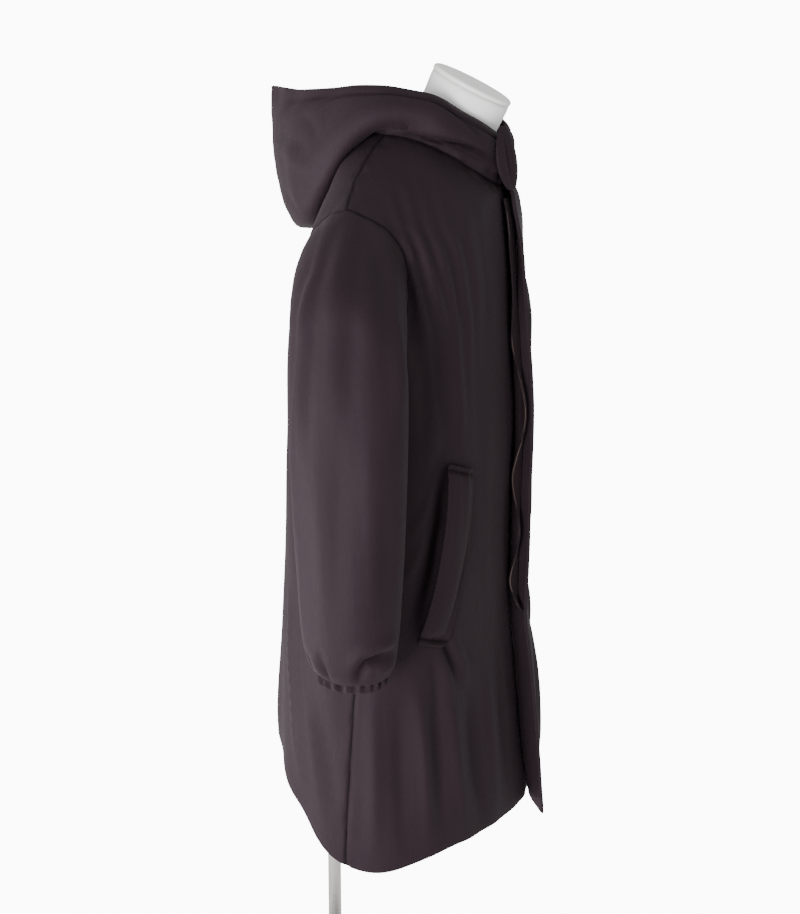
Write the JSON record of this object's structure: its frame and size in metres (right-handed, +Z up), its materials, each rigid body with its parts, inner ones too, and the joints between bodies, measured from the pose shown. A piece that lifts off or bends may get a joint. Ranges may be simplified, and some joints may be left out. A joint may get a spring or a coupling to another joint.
{
  "type": "hooded parka on a dress form",
  "caption": "Padded knee-length hooded parka with a covered snap front, slanted welt pockets and gathered cuffs, on a limbless dress form with a pole and a round base.",
  "frame": {"origin": "centre of the base plate's underside, on the pole's axis", "axes": "+Z up, -Y the coat's front, +X the wearer's left"},
  "size_m": [0.7056, 0.5234, 1.5485],
  "materials": {
    "shell": "soft sheen",
    "trim": "soft sheen",
    "form_skin": "matte",
    "stand_steel": "satin"
  },
  "bodies": {
    "root": {"back": "shell", "front_right": "shell", "front_left": "shell", "sleeve_right": "shell", "sleeve_left": "shell", "hood_right": "shell", "hood_left": "shell", "cuff_right": "trim", "cuff_left": "trim", "welt_right": "trim", "welt_left": "trim", "fly_strip": "trim", "collar_tab": "trim", "dress_form": "form_skin", "neck_cap": "form_skin", "pole": "stand_steel", "pole_socket": "stand_steel", "base_plate": "stand_steel"}
  },
  "joints": []
}
